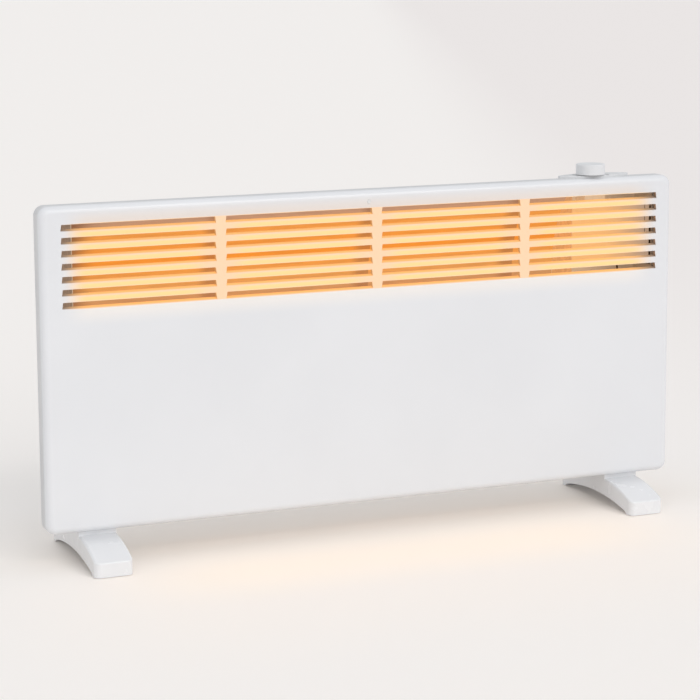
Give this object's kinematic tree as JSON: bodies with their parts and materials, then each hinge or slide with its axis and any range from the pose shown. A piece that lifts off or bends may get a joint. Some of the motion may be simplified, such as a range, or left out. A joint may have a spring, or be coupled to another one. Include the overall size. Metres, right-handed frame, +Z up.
{
  "type": "convector heater",
  "caption": "Slim white panel convector heater on two arched feet, with a slotted outlet grille along the top and a thermostat knob.",
  "frame": {"origin": "on the floor, in the middle between the two feet, half way along them", "axes": "+X to the right seen from the front, +Y to the back, +Z up"},
  "size_m": [0.83, 0.19, 0.4441],
  "materials": {
    "cover_paint": "satin white powder coat",
    "frame_plastic": "satin white moulding",
    "housing_paint": "fine-textured white powder coat",
    "foot_plastic": "glossy white moulding",
    "knob_plastic": "satin white moulding",
    "pad_rubber": "grey rubber",
    "screw_steel": "zinc plated",
    "duct_steel": "bright galvanised sheet",
    "guide_steel": "bright sheet lit orange by the element",
    "mica": "pressed mica",
    "hot_ribbon": "glowing resistance ribbon",
    "strap_steel": "plain steel strap",
    "lens_clear": "clear moulding",
    "black_plastic": "black moulding",
    "cream_plastic": "cream moulding",
    "bush_rubber": "white rubber",
    "wire_brown": "brown insulation",
    "wire_blue": "blue insulation",
    "wire_green": "green insulation",
    "wire_white": "white insulation"
  },
  "bodies": {
    "case": {"front_cover": "cover_paint", "surround_frame": "frame_plastic", "rear_housing": "housing_paint", "case_screws": "screw_steel", "foot_left": "foot_plastic", "foot_right": "foot_plastic", "foot_pads": "pad_rubber", "foot_screws": "screw_steel", "foot_nuts": "screw_steel", "baffle_left": "duct_steel", "baffle_right": "duct_steel", "heat_shield": "duct_steel", "air_guide": "guide_steel", "mica_board": "mica", "heating_ribbon_front": "hot_ribbon", "heating_ribbon_rear": "hot_ribbon", "ribbon_link": "strap_steel", "element_terminals": "strap_steel", "element_hanger": "duct_steel", "control_cover": "duct_steel", "thermostat": "cream_plastic", "thermostat_nut": "screw_steel", "control_platform": "frame_plastic", "lamp_lens": "lens_clear", "lamp_holder": "black_plastic", "inlet_bush": "bush_rubber", "terminal_block": "cream_plastic", "tip_switch": "black_plastic", "thermal_cutout": "strap_steel", "earth_stud": "screw_steel", "lamp_wires": "wire_white", "wire_supply": "wire_brown", "wire_switched": "wire_brown", "wire_regulated": "wire_brown", "wire_element": "wire_white", "wire_neutral": "wire_blue", "wire_earth": "wire_green"},
    "knob": {"knob": "knob_plastic", "thermostat_shaft": "screw_steel"}
  },
  "joints": [
    {"name": "knob_turn", "type": "hinge", "parent": "case", "child": "knob", "pos_m": [0.3083, -0.0155, 0.43], "axis": [0, 0, 1], "range_deg": [-270, 0]}
  ]
}
